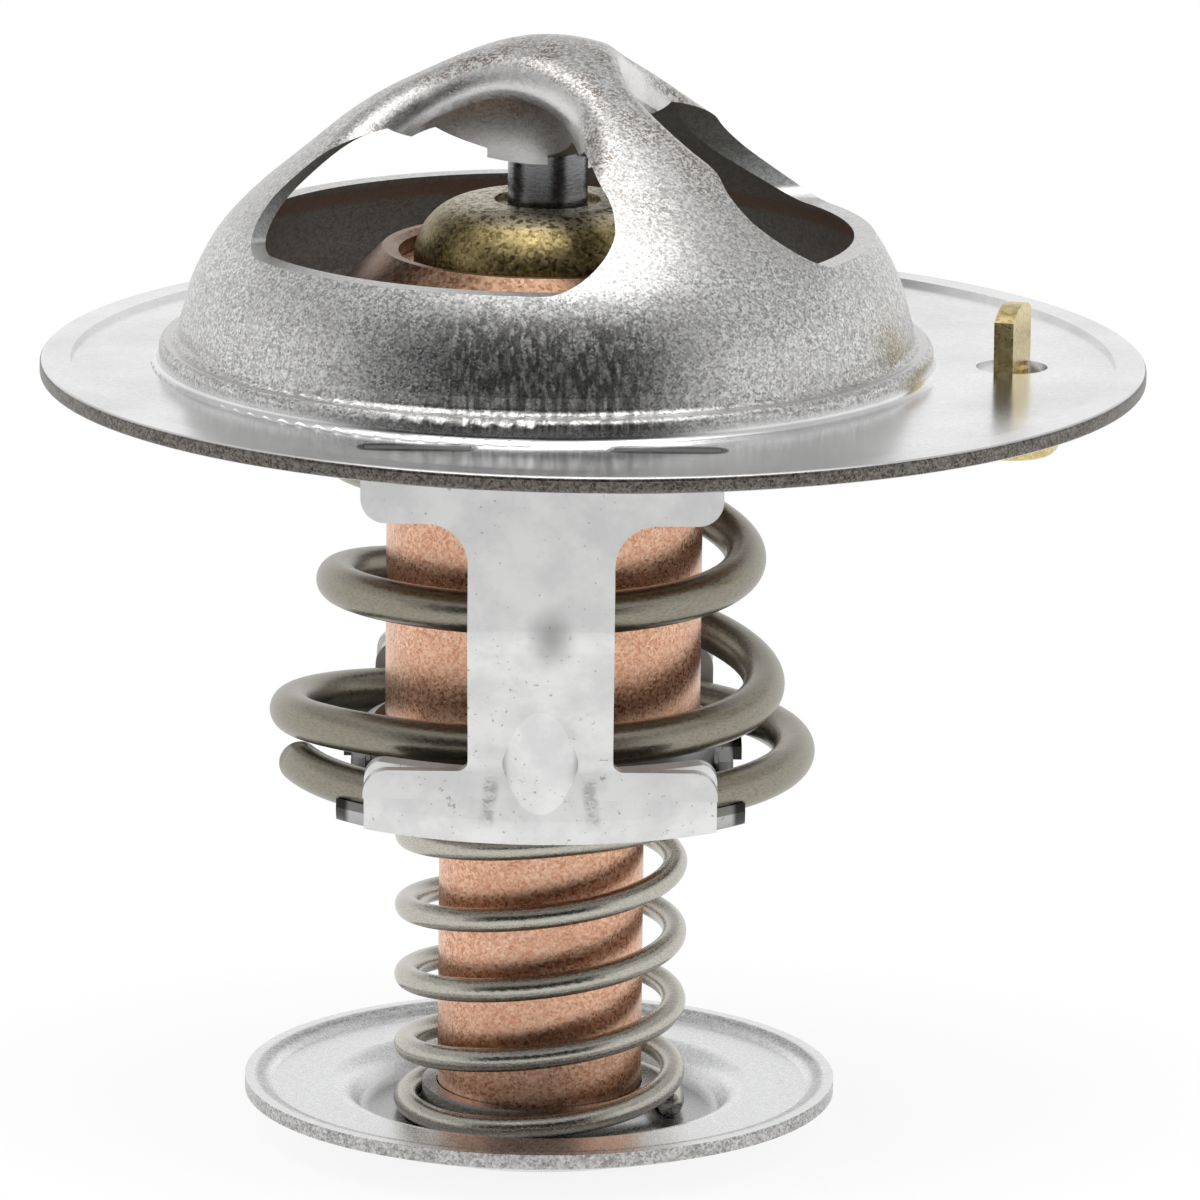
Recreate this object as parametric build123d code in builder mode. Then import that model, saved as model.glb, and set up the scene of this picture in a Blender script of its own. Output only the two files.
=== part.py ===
from build123d import *
import os
from math import cos, exp, radians, sin, tan

# Wax-element engine cooling valve: a flanged bridge, two legs that carry a
# spring seat, a sliding valve on a copper wax element, and a sprung bypass
# disc on the element's lower stem. Millimetres, +Z up, valve axis on Z.
# Z = 0 is the underside of the flange's rim band, which seats in the housing.

# ---------------------------------------------------------------- sizes ----
# Flange and bridge, one stamping
SHEET = 0.8
FLANGE_R = 27.0
FLANGE_SHIFT = 2.3
RIM_W = 1.5
RIM_RISE = 0.25
RIM_EDGE_R = 0.2
FACE_Z = SHEET - RIM_RISE
WEB_Z = FACE_Z - SHEET
PEAK_H = 16.1
WALL_R = 17.9
WALL_H = 2.0
LEDGE_R = 18.9
LEDGE_H = 1.15
LEDGE_BEND_R = 0.4
WALL_FLARE = 0.1
CROWN_STEPS = 12

# Dimples that grip the piston, one above each window
WINDOWS = 3
DIMPLE_R = 6.0
DIMPLE_H = 10.7
CREASE_R = 1.5
GRIP_BITE = 0.06

# Windows between the bridge's three arms
WINDOW_SILL_H = 6.5
WINDOW_HALF_W = 10.3
WINDOW_WAIST_H = 9.6
WINDOW_WAIST_HALF_W = 9.0
WINDOW_TOP_H = 11.95
WINDOW_TOP_HALF_W = 5.5
TONGUE_H = 10.3
WINDOW_CORNER_R = 1.7

# Piston
PISTON_R = 1.95
PISTON_TOP_H = 15.2
PISTON_BOTTOM_DEPTH = 3.5
PISTON_CHAMFER = 0.35

# Legs
LEG_SHEET = 0.7
LEG_Y = 20.1
LEG_TOP_W = 17.1
LEG_TOP_DEPTH = 3.6
LEG_NECK_W = 6.95
LEG_BEND_DEPTH = 9.3
LEG_BEND_R = 1.6
FOOT_H = 3.55
FOOT_W = 17.0
FOOT_CORNER_R = 1.2
NECK_FILLET_R = 2.0
FOOT_FILLET_R = 0.5
RIB_R = 2.3
RIB_PROUD = 0.12
RIB_HEAD_H = 2.8
RIB_FOOT_DROP = 1.8
TAB_W = 5.0
TAB_INNER_X = 3.4
SLOT_GAP = 0.03
HOOK_ANGLE = 30.0

# Spring seat
SEAT_SHEET = 0.65
SEAT_DEPTH = 20.45
SEAT_HALF_W = 9.9
SEAT_WAIST_R = 9.4
SEAT_NOTCH_HALF_L = 4.6
COLLAR_H = 2.55
COLLAR_FLARE_H = 1.2
COLLAR_FLARE_R = 8.95
COLLAR_GAP = 0.08
EAR_T = 0.7
EAR_L = 2.4
LIP_ANGLE = 22.0

# Main spring
WIRE = 2.05
COIL_FOOT_R = 12.4
COIL_TOP_R = 9.7
COIL_START_DEG = 235.0
COIL_SEAT_DEG = 230.0
COIL_DEAD_DEG = 200.0
COIL_PITCH = 6.2
COIL_TAPER_LAG_DEG = 95.0
COIL_TAPER_DEG = 190.0
COIL_STEP_DEG = 20.0
LEAN_RAMP_DEG = 120.0
COIL_LEAN = 0.9
CUP_GAP = 0.06

# Wax element
BODY_R = 7.75
STEM_R = 5.05
MOUTH_R = 6.95
LIP_R = 7.2
LIP_T = 0.35
SHOULDER_DEPTH = 21.9
STEP_H = 2.9
MOUTH_H = 4.55
GUIDE_R = 6.5
STEM_WALL = 1.0
CHAMBER_R = 6.0
CLAMP_DEPTH = 9.6
DIAPHRAGM_T = 0.8
FLOOR_T = 1.2
STEM_CHAMFER = 0.2
STEM_END_RISE = 0.1
BORE_GAP = 0.03
BODY_EDGE_R = 0.5

# Guide cap
CAP_TOP_H = 8.1
CAP_DOME_R = 2.9
CAP_RECESS_R = 2.6
CAP_RECESS_DEPTH = 0.3
FUNNEL_R = 4.0
FUNNEL_DEPTH = 1.0
DIAPHRAGM_RISE = 0.5

# Plug and backup disc under the piston
BACKUP_T = 0.6
PLUG_L = 4.6

# Valve plate
NECK_R = 7.25
RIM_R = 8.05
RIM_H = 5.75
CONE_ANGLE = 44.5
VALVE_R = 17.6
VALVE_SHEET = 0.8
VALVE_EDGE_R = 0.3
SEAT_CLEAR = 0.02

# Bypass disc, spring and snap ring
DISC_R = 14.6
DISC_SHEET = 0.7
DISC_WEB_DEPTH = 36.5
DISC_LIP_RISE = 0.45
DISC_LIP_W = 0.8
RECESS_R = 9.0
RECESS_DEPTH = 1.45
RECESS_BEND_R = 0.9
LIP_BEND_R = 0.4
DISC_COLLAR_H = 1.9
STEM_GAP = 0.06
BYPASS_WIRE = 1.2
BYPASS_COIL_R = 6.62
BYPASS_PITCH = 3.55
BYPASS_SEAT_DEG = 247.0
BYPASS_DEAD_DEG = 150.0
BYPASS_LEAN = 0.28
BYPASS_START_DEG = -12.0
RING_WIRE = 0.5
RING_RISE = 0.6
COLLAR_BEND_R = 1.25
RING_GAP_DEG = 40.0
GROOVE_DEPTH = 0.22

# Vent (jiggle) pin
VENT_X = 22.75
VENT_HOLE_R = 1.75
PADDLE_T = 0.95
PADDLE_W = 4.4
PADDLE_EDGE_H = 2.6
PADDLE_H = 3.15
PADDLE_TURN = 13.5
SHANK_R = 0.8
VENT_FLOAT = 1.3
WEIGHT_R = 2.4
WEIGHT_L = 2.2
WEIGHT_EDGE_R = 0.7


# ----------------------------------------------------- flange and bridge ----
PEAK_Z = FACE_Z + PEAK_H
PISTON_TOP_Z = FACE_Z + PISTON_TOP_H
DIMPLE_X = PISTON_R + SHEET + DIMPLE_R - GRIP_BITE
TAB_CENTRES = (-TAB_INNER_X - TAB_W / 2, TAB_INNER_X + TAB_W / 2)
TAB_Y = LEG_Y - LEG_SHEET / 2
DIMPLE_Z = FACE_Z + DIMPLE_H

# The dome is drawn on the side away from the first dimple, clear of them all
DOME_PLANE = Plane(origin=(0, 0, 0), x_dir=(-1, 0, 0), z_dir=(0, 1, 0))

# The crown's outline, from the peak down to the wall
with BuildLine() as crown_line:
    crown = Spline(
        (0, PEAK_Z),
        (0.26 * WALL_R, FACE_Z + 0.928 * PEAK_H),
        (0.48 * WALL_R, FACE_Z + 0.804 * PEAK_H),
        (0.69 * WALL_R, FACE_Z + 0.619 * PEAK_H),
        (0.875 * WALL_R, FACE_Z + 0.428 * PEAK_H),
        (0.96 * WALL_R, FACE_Z + 0.273 * PEAK_H),
        (WALL_R, FACE_Z + WALL_H),
        tangents=[(1, 0), (0.3, -1)],
    )


def dome_half(inset):
    """Half section of the dome, down past the web, one inset inside its face."""
    with BuildSketch() as half:
        with BuildLine():
            inner = [(crown % (i / CROWN_STEPS)).rotate(Axis.Z, -90) for i in range(CROWN_STEPS + 1)]
            top = Spline(
                [crown @ (i / CROWN_STEPS) + inset * inner[i] for i in range(CROWN_STEPS + 1)],
                tangents=[crown % 0, crown % 1],
            )
            Polyline(
                top @ 1,
                (WALL_R + WALL_FLARE - inset, FACE_Z + LEDGE_H - inset),
                (LEDGE_R - inset, FACE_Z + LEDGE_H - inset),
                (LEDGE_R + WALL_FLARE - inset, WEB_Z - LEDGE_R + inset),
                (0, WEB_Z - LEDGE_R + inset),
                top @ 0,
            )
        make_face()
        ledge = half.vertices().filter_by_position(Axis.Y, FACE_Z, FACE_Z + LEDGE_H + 0.1)
        fillet(ledge, LEDGE_BEND_R)
    return half.sketch


def dimple_punches(radius):
    """The round punches that press in the dimples."""
    with BuildPart() as punches:
        with PolarLocations(DIMPLE_X, WINDOWS):
            with Locations((0, 0, DIMPLE_Z)):
                Sphere(radius)
    return punches.part


def dimple_creases(part):
    """The ridges where a dimple runs out into the crown."""
    ridges = part.edges().filter_by(lambda edge: edge.is_closed)
    return ridges.filter_by(GeomType.CIRCLE, reverse=True)


with BuildPart() as dome_cavity:
    with BuildSketch(DOME_PLANE):
        add(dome_half(SHEET))
    revolve(axis=Axis.Z)
    add(dimple_punches(DIMPLE_R + SHEET), mode=Mode.SUBTRACT)

# One window, seen square on: sill, two leaning sides, and a top edge that
# dips to the tip of the dimple's tongue
with BuildSketch() as window:
    with BuildLine():
        sill = Line(
            (-WINDOW_HALF_W, FACE_Z + WINDOW_SILL_H), (WINDOW_HALF_W, FACE_Z + WINDOW_SILL_H)
        )
        ThreePointArc(
            sill @ 1,
            (WINDOW_WAIST_HALF_W, FACE_Z + WINDOW_WAIST_H),
            (WINDOW_TOP_HALF_W, FACE_Z + WINDOW_TOP_H),
        )
        ThreePointArc(
            sill @ 0,
            (-WINDOW_WAIST_HALF_W, FACE_Z + WINDOW_WAIST_H),
            (-WINDOW_TOP_HALF_W, FACE_Z + WINDOW_TOP_H),
        )
        ThreePointArc(
            (-WINDOW_TOP_HALF_W, FACE_Z + WINDOW_TOP_H),
            (0, FACE_Z + TONGUE_H),
            (WINDOW_TOP_HALF_W, FACE_Z + WINDOW_TOP_H),
        )
    make_face()
    fillet(window.vertices().group_by(Axis.Y)[0], WINDOW_CORNER_R)

with BuildPart() as window_cuts:
    with PolarLocations(0, WINDOWS):
        with Locations(Plane.YZ.location):
            add(extrude(window.sketch, WALL_R + 4, mode=Mode.PRIVATE))

# Below the tongues the punches would leave loose bowls, which are cut away
with BuildPart() as bowl_trim:
    add(dimple_punches(DIMPLE_R + 1.2 * SHEET))
    with BuildSketch(Plane.XY.offset(FACE_Z + WINDOW_SILL_H + WINDOW_CORNER_R)):
        Circle(2 * WALL_R)
    extrude(amount=2 * DIMPLE_R, mode=Mode.SUBTRACT)

with BuildPart() as flange_bridge:
    with BuildSketch(DOME_PLANE):
        add(dome_half(0))
    revolve(axis=Axis.Z)
    add(dimple_punches(DIMPLE_R), mode=Mode.SUBTRACT)
    fillet(dimple_creases(flange_bridge), CREASE_R)
    with BuildSketch(Plane.XY.offset(WEB_Z)):
        with Locations((FLANGE_SHIFT, 0)):
            Circle(FLANGE_R - RIM_W)
    extrude(amount=SHEET)
    with BuildSketch(Plane.XY.offset(WEB_Z)):
        Rectangle(4 * FLANGE_R, 4 * FLANGE_R)
    extrude(amount=-2 * LEDGE_R, mode=Mode.SUBTRACT)
    foot_edges = flange_bridge.edges().filter_by(GeomType.CIRCLE)
    foot_edges = foot_edges.filter_by_position(Axis.Z, FACE_Z - 0.01, FACE_Z + 0.01)
    fillet(foot_edges.sort_by(SortBy.RADIUS)[0], LEDGE_BEND_R)
    add(dome_cavity.part, mode=Mode.SUBTRACT)
    with BuildSketch() as rim_band:
        with Locations((FLANGE_SHIFT, 0)):
            Circle(FLANGE_R)
            Circle(FLANGE_R - RIM_W, mode=Mode.SUBTRACT)
    extrude(amount=SHEET)
    rim_edges = flange_bridge.edges().filter_by(GeomType.CIRCLE)
    fillet(rim_edges.filter_by(lambda e: e.radius > FLANGE_R - 0.01), RIM_EDGE_R)
    add(window_cuts.part, mode=Mode.SUBTRACT)
    add(bowl_trim.part, mode=Mode.SUBTRACT)
    with Locations((0, 0, DIMPLE_Z)):
        Cylinder(PISTON_R, 2 * (PISTON_TOP_Z - DIMPLE_Z), mode=Mode.SUBTRACT)
    with Locations((VENT_X, 0, FACE_Z)):
        Cylinder(VENT_HOLE_R, 4 * SHEET, mode=Mode.SUBTRACT)
    with BuildSketch(Plane.XY.offset(FACE_Z)):
        with Locations(*[(x, y) for x in TAB_CENTRES for y in (-TAB_Y, TAB_Y)]):
            Rectangle(TAB_W + 2 * SLOT_GAP, LEG_SHEET + 2 * SLOT_GAP)
    extrude(amount=-2 * SHEET, mode=Mode.SUBTRACT)


# ------------------------------------------------------------- finishing ----
os.makedirs("parts", exist_ok=True)


def finish(piece, name):
    """Labels a finished piece and writes it out."""
    piece.part.label = name
    export_step(piece.part, f"parts/{name}.step")


finish(flange_bridge, "flange_bridge")

# ---------------------------------------------------------------- piston ----
PISTON_BOTTOM_Z = FACE_Z - PISTON_BOTTOM_DEPTH

with BuildPart() as piston:
    with BuildSketch(Plane.XY.offset(PISTON_BOTTOM_Z)):
        Circle(PISTON_R)
    extrude(amount=PISTON_TOP_Z - PISTON_BOTTOM_Z)
    chamfer(piston.edges().filter_by(GeomType.CIRCLE), PISTON_CHAMFER)

finish(piston, "piston")

# ------------------------------------------------------------------ legs ----
# The bottom coil of the main spring sits in a cupped rim of the seat, and the
# leg's foot cradles that rim from outside: all three share one centre
SEAT_Z = FACE_Z - SEAT_DEPTH
COIL_FOOT_Z = SEAT_Z + CUP_GAP + WIRE / 2
CUP_R = WIRE / 2 + CUP_GAP
HOOK_R = CUP_R + SEAT_SHEET + SLOT_GAP
FOOT_Y = COIL_FOOT_R + HOOK_R + LEG_SHEET
FOOT_TOP_Z = SEAT_Z + FOOT_H
HOOK_DROP = (HOOK_R + LEG_SHEET) * sin(radians(HOOK_ANGLE))

# A rib is pressed forward across the bend above the foot
bend_head = Vector(0, -TAB_Y, FACE_Z - LEG_BEND_DEPTH)
bend_foot = Vector(0, LEG_SHEET / 2 - FOOT_Y, FOOT_TOP_Z + FOOT_FILLET_R)
strut = (bend_foot - bend_head).normalized()
strut_front = Vector(0, strut.Z, -strut.Y) * LEG_SHEET / 2
rib_head = bend_foot + strut_front - strut * (RIB_HEAD_H / abs(strut.Z))
rib_foot = Vector(0, -FOOT_Y, FOOT_TOP_Z - RIB_FOOT_DROP)
rib_run = rib_foot - rib_head
rib_back = Vector(0, -rib_run.Z, rib_run.Y).normalized()
rib_start = rib_head - rib_run + rib_back * (RIB_R - RIB_PROUD)
RIB_PLANE = Plane(origin=rib_start, x_dir=(1, 0, 0), z_dir=rib_run)

with BuildPart() as leg_rib:
    with BuildSketch(RIB_PLANE):
        Circle(RIB_R)
    extrude(amount=3 * rib_run.length)
    with BuildSketch(Plane.YZ):
        with BuildLine():
            Polyline(
                (bend_head.Y, bend_head.Z),
                (bend_foot.Y, bend_foot.Z),
                (bend_foot.Y, SEAT_Z),
                (-2 * LEG_Y, SEAT_Z),
                (-2 * LEG_Y, bend_head.Z),
                close=True,
            )
        make_face()
    extrude(amount=LEG_NECK_W / 2, both=True, mode=Mode.INTERSECT)

with BuildPart() as rib_hollow:
    with BuildSketch(RIB_PLANE):
        Circle(RIB_R - LEG_SHEET)
    extrude(amount=3 * rib_run.length)

with BuildPart() as front_leg:
    with BuildSketch(Plane.YZ):
        with BuildLine():
            FilletPolyline(
                (-TAB_Y, WEB_Z),
                (-TAB_Y, FACE_Z - LEG_BEND_DEPTH),
                (LEG_SHEET / 2 - FOOT_Y, FOOT_TOP_Z + FOOT_FILLET_R),
                (LEG_SHEET / 2 - FOOT_Y, FOOT_TOP_Z - 2 * LEG_SHEET),
                radius=LEG_BEND_R,
            )
        trace(line_width=LEG_SHEET)
    extrude(amount=LEG_TOP_W, both=True)
    with BuildSketch(Plane.XZ):
        with BuildLine():
            outside = CenterArc(
                (COIL_FOOT_R, COIL_FOOT_Z), HOOK_R + LEG_SHEET, -HOOK_ANGLE, HOOK_ANGLE
            )
            inside = CenterArc((COIL_FOOT_R, COIL_FOOT_Z), HOOK_R, -HOOK_ANGLE, HOOK_ANGLE)
            Line(outside @ 0, inside @ 0)
            Polyline(
                outside @ 1,
                (FOOT_Y, FOOT_TOP_Z - FOOT_FILLET_R / 4),
                (FOOT_Y - LEG_SHEET, FOOT_TOP_Z),
                inside @ 1,
            )
        make_face()
    revolve(axis=Axis.Z)
    add(leg_rib.part)
    add(rib_hollow.part, mode=Mode.SUBTRACT)
    with BuildSketch(Plane.XZ) as leg_outline:
        with Locations((0, (WEB_Z + FACE_Z - LEG_TOP_DEPTH) / 2)):
            Rectangle(LEG_TOP_W, WEB_Z - FACE_Z + LEG_TOP_DEPTH)
        with Locations((0, (WEB_Z + FOOT_TOP_Z) / 2)):
            Rectangle(LEG_NECK_W, WEB_Z - FOOT_TOP_Z)
        with Locations((0, FOOT_TOP_Z - FOOT_W / 2)):
            Rectangle(FOOT_W, FOOT_W)
        neck_corners = leg_outline.vertices().filter_by_position(
            Axis.X, -LEG_NECK_W, LEG_NECK_W
        ).sort_by(Axis.Y)
        fillet(neck_corners[:2], FOOT_FILLET_R)
        neck_corners = leg_outline.vertices().filter_by_position(
            Axis.X, -LEG_NECK_W / 2 - 0.01, LEG_NECK_W / 2 + 0.01
        ).group_by(Axis.Y)[-1]
        fillet(neck_corners, NECK_FILLET_R)
        wide = leg_outline.vertices().filter_by(lambda v: abs(v.X) > FOOT_W / 2 - 0.01)
        fillet(wide.filter_by_position(Axis.Y, FOOT_TOP_Z - 0.01, WEB_Z - 0.01), FOOT_CORNER_R)
    extrude(amount=LEG_Y + 1, mode=Mode.INTERSECT)
    with BuildSketch(Plane.XY.offset(WEB_Z)):
        with Locations(*[(x, -TAB_Y) for x in TAB_CENTRES]):
            Rectangle(TAB_W, LEG_SHEET)
    extrude(amount=SHEET)

finish(front_leg, "front_leg")

with BuildPart() as rear_leg:
    add(front_leg.part.rotate(Axis.Z, 180))

finish(rear_leg, "rear_leg")

# ----------------------------------------------------------- spring seat ----
COLLAR_MID_R = BODY_R + COLLAR_GAP + SEAT_SHEET / 2
COLLAR_TOP_Z = SEAT_Z + COLLAR_H

with BuildPart() as spring_seat:
    with BuildSketch(Plane.XZ):
        with BuildLine():
            collar = FilletPolyline(
                (COLLAR_FLARE_R - SEAT_SHEET / 2, COLLAR_TOP_Z - SEAT_SHEET / 3),
                (COLLAR_MID_R, COLLAR_TOP_Z - COLLAR_FLARE_H),
                (COLLAR_MID_R, SEAT_Z - SEAT_SHEET / 2),
                (COIL_FOOT_R, SEAT_Z - SEAT_SHEET / 2),
                radius=SEAT_SHEET,
            )
            CenterArc(
                (COIL_FOOT_R, COIL_FOOT_Z), CUP_R + SEAT_SHEET / 2, -90, 90 - LIP_ANGLE
            )
        trace(line_width=SEAT_SHEET)
    revolve(axis=Axis.Z)
    with BuildSketch(Plane.XY.offset(COLLAR_TOP_Z + 1)):
        Rectangle(2 * SEAT_HALF_W, 3 * COIL_FOOT_R)
        Rectangle(3 * SEAT_HALF_W, 2 * SEAT_NOTCH_HALF_L, mode=Mode.SUBTRACT)
        Circle(SEAT_WAIST_R)
    extrude(amount=-SEAT_DEPTH, mode=Mode.INTERSECT)
    with BuildSketch(Plane.XY.offset(SEAT_Z - SEAT_SHEET / 2)):
        with GridLocations(2 * SEAT_WAIST_R - EAR_T, 0, 2, 1):
            Rectangle(EAR_T, EAR_L)
    extrude(amount=SEAT_SHEET / 2 + EAR_T)

finish(spring_seat, "spring_seat")

# --------------------------------------------------------------- springs ----


def clamp(value, low=0.0, high=1.0):
    """A value kept within two limits."""
    return min(high, max(low, value))


def coil_points(start, end, radius, height, lean):
    """Points along a coil: radius, height and lean are functions of the angle."""
    count = round((end - start) / COIL_STEP_DEG)
    points = []
    for index in range(count + 1):
        turn = start + (end - start) * index / count
        r = radius(turn)
        x = r * cos(radians(turn))
        y = r * sin(radians(turn))
        points.append((x, y, height(turn) + lean(turn) * cos(radians(turn))))
    return points


VALVE_SEAT_Z = FACE_Z + LEDGE_H - SHEET - SEAT_CLEAR
CONE_SLOPE = tan(radians(CONE_ANGLE))
CONE_OFFSET = VALVE_SHEET / sin(radians(CONE_ANGLE))
RIM_Z = FACE_Z + RIM_H


def cone_inner_z(r):
    """Height of the valve cone's inner face at a radius."""
    return RIM_Z - (r + CONE_OFFSET - RIM_R) * CONE_SLOPE


COIL_TOP_Z = cone_inner_z(COIL_TOP_R + (WIRE / 2 + CUP_GAP) / sin(radians(CONE_ANGLE)))
COIL_RISE_DEG = COIL_START_DEG + COIL_SEAT_DEG
COIL_CLOSE_DEG = COIL_RISE_DEG + 360 * (COIL_TOP_Z - COIL_FOOT_Z) / COIL_PITCH
COIL_END_DEG = COIL_CLOSE_DEG + COIL_DEAD_DEG


def main_radius(turn):
    """The spring narrows soon after its foot and then runs straight."""
    past = max(0.0, turn - COIL_RISE_DEG - COIL_TAPER_LAG_DEG)
    return COIL_TOP_R + (COIL_FOOT_R - COIL_TOP_R) * exp(-past / COIL_TAPER_DEG)


def main_height(turn):
    """Flat on the seat, an even pitch, and flat inside the cone."""
    share = clamp((turn - COIL_RISE_DEG) / (COIL_CLOSE_DEG - COIL_RISE_DEG))
    return COIL_FOOT_Z + share * (COIL_TOP_Z - COIL_FOOT_Z)


def main_lean(turn):
    """The free coils tip a little down towards the vent pin."""
    rise = clamp((turn - COIL_RISE_DEG) / LEAN_RAMP_DEG)
    fall = clamp((COIL_CLOSE_DEG - turn) / LEAN_RAMP_DEG)
    return -COIL_LEAN * rise * fall


with BuildPart() as main_spring:
    with BuildLine() as main_coil:
        Spline(*coil_points(COIL_START_DEG, COIL_END_DEG, main_radius, main_height, main_lean))
    with BuildSketch(Plane(origin=main_coil.line @ 0, z_dir=main_coil.line % 0)):
        Circle(WIRE / 2)
    sweep()

finish(main_spring, "main_spring")

# ----------------------------------------------------------- wax element ----
WEB_TOP_Z = FACE_Z - DISC_WEB_DEPTH
DISC_FLOOR_Z = WEB_TOP_Z - RECESS_DEPTH - DISC_SHEET
RING_Z = DISC_FLOOR_Z + RING_RISE
STEM_BOTTOM_Z = DISC_FLOOR_Z + STEM_END_RISE
SHOULDER_Z = FACE_Z - SHOULDER_DEPTH
STEP_Z = FACE_Z + STEP_H
MOUTH_Z = FACE_Z + MOUTH_H
CLAMP_Z = FACE_Z - CLAMP_DEPTH
LEDGE_Z = CLAMP_Z - DIAPHRAGM_T
CHAMBER_FLOOR_Z = SHOULDER_Z + STEM_WALL
STEM_BORE_R = STEM_R - STEM_WALL
STEM_FLOOR_Z = STEM_BOTTOM_Z + FLOOR_T
RING_MID_R = STEM_R - GROOVE_DEPTH + RING_WIRE / 2

with BuildPart() as element_cup:
    with BuildSketch(Plane.XZ) as cup_section:
        with BuildLine():
            Polyline(
                (0, STEM_BOTTOM_Z),
                (STEM_R, STEM_BOTTOM_Z),
                (STEM_R, SHOULDER_Z),
                (BODY_R, SHOULDER_Z),
                (BODY_R, STEP_Z),
                (MOUTH_R, STEP_Z),
                (MOUTH_R, MOUTH_Z),
                (LIP_R, MOUTH_Z),
                (LIP_R, MOUTH_Z + LIP_T),
                (GUIDE_R + BORE_GAP, MOUTH_Z + LIP_T),
                (GUIDE_R + BORE_GAP, LEDGE_Z),
                (CHAMBER_R, LEDGE_Z),
                (CHAMBER_R, CHAMBER_FLOOR_Z),
                (STEM_BORE_R, CHAMBER_FLOOR_Z),
                (STEM_BORE_R, STEM_FLOOR_Z),
                (0, STEM_FLOOR_Z),
                close=True,
            )
        make_face()
        shoulder = cup_section.vertices().filter_by_position(Axis.Y, SHOULDER_Z, SHOULDER_Z)
        fillet(shoulder.sort_by(Axis.X)[-1], BODY_EDGE_R)
        bottom = cup_section.vertices().filter_by_position(Axis.Y, STEM_BOTTOM_Z, STEM_BOTTOM_Z)
        chamfer(bottom.sort_by(Axis.X)[-1], STEM_CHAMFER)
    revolve(axis=Axis.Z)
    with Locations((0, 0, RING_Z)):
        Torus(RING_MID_R, RING_WIRE / 2 + SEAT_CLEAR, mode=Mode.SUBTRACT)

finish(element_cup, "element_cup")

with BuildPart() as guide_cap:
    with BuildSketch(Plane.XZ):
        with BuildLine():
            dome = CenterArc(
                (GUIDE_R - CAP_DOME_R, FACE_Z + CAP_TOP_H - CAP_DOME_R), CAP_DOME_R, 0, 90
            )
            Polyline(
                dome @ 1,
                (CAP_RECESS_R, FACE_Z + CAP_TOP_H),
                (CAP_RECESS_R, FACE_Z + CAP_TOP_H - CAP_RECESS_DEPTH),
                (PISTON_R + BORE_GAP, FACE_Z + CAP_TOP_H - CAP_RECESS_DEPTH),
                (PISTON_R + BORE_GAP, CLAMP_Z + FUNNEL_DEPTH),
                (FUNNEL_R, CLAMP_Z),
                (GUIDE_R, CLAMP_Z),
                dome @ 0,
            )
        make_face()
    revolve(axis=Axis.Z)

finish(guide_cap, "guide_cap")

with BuildPart() as diaphragm:
    with BuildSketch(Plane.XZ):
        with BuildLine():
            crest = Line((0, CLAMP_Z + DIAPHRAGM_RISE), (FUNNEL_R / 3, CLAMP_Z + DIAPHRAGM_RISE))
            Polyline(
                crest @ 1,
                (FUNNEL_R * 0.75, CLAMP_Z),
                (GUIDE_R, CLAMP_Z),
                (GUIDE_R, LEDGE_Z),
                (0, LEDGE_Z),
                crest @ 0,
            )
        make_face()
    revolve(axis=Axis.Z)

finish(diaphragm, "diaphragm")

with BuildPart() as wax_charge:
    with BuildSketch(Plane.XZ):
        with BuildLine():
            Polyline(
                (0, LEDGE_Z),
                (CHAMBER_R, LEDGE_Z),
                (CHAMBER_R, CHAMBER_FLOOR_Z),
                (STEM_BORE_R, CHAMBER_FLOOR_Z),
                (STEM_BORE_R, STEM_FLOOR_Z),
                (0, STEM_FLOOR_Z),
                close=True,
            )
        make_face()
    revolve(axis=Axis.Z)

finish(wax_charge, "wax_charge")

with BuildPart() as backup_disc:
    with BuildSketch(Plane.XY.offset(PISTON_BOTTOM_Z)):
        Circle(PISTON_R)
    extrude(amount=-BACKUP_T)

finish(backup_disc, "backup_disc")

with BuildPart() as rubber_plug:
    with BuildSketch(Plane.XY.offset(PISTON_BOTTOM_Z - BACKUP_T)):
        Circle(PISTON_R)
    extrude(amount=-PLUG_L)

finish(rubber_plug, "rubber_plug")

# ----------------------------------------------------------- valve plate ----
CONE_FOOT_R = RIM_R + (RIM_Z - VALVE_SEAT_Z) / CONE_SLOPE
CONE_INNER_FOOT_R = RIM_R + (RIM_Z - VALVE_SEAT_Z + VALVE_SHEET) / CONE_SLOPE - CONE_OFFSET
NECK_OUTER_R = MOUTH_R + VALVE_SHEET

with BuildPart() as valve_plate:
    with BuildSketch(Plane.XZ) as valve_section:
        with BuildLine():
            Polyline(
                (MOUTH_R, STEP_Z),
                (MOUTH_R, MOUTH_Z),
                (NECK_R, MOUTH_Z),
                (NECK_R, RIM_Z - (RIM_R - NECK_R) / 4),
                (NECK_R + (RIM_R - NECK_R) / 2, RIM_Z),
                (RIM_R, RIM_Z),
                (CONE_FOOT_R, VALVE_SEAT_Z),
                (VALVE_R, VALVE_SEAT_Z),
                (VALVE_R, VALVE_SEAT_Z - VALVE_SHEET),
                (CONE_INNER_FOOT_R, VALVE_SEAT_Z - VALVE_SHEET),
                (NECK_OUTER_R, cone_inner_z(NECK_OUTER_R)),
                (NECK_OUTER_R, STEP_Z),
                close=True,
            )
        make_face()
        edge = valve_section.vertices().filter_by_position(Axis.X, VALVE_R, VALVE_R)
        fillet(edge, VALVE_EDGE_R)
    revolve(axis=Axis.Z)

finish(valve_plate, "valve_plate")

# ---------------------------------------------- bypass disc, spring, ring ----
COLLAR_R = STEM_R + STEM_GAP + DISC_SHEET / 2
FLOOR_MID_Z = DISC_FLOOR_Z + DISC_SHEET / 2
WEB_MID_Z = WEB_TOP_Z - DISC_SHEET / 2

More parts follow.
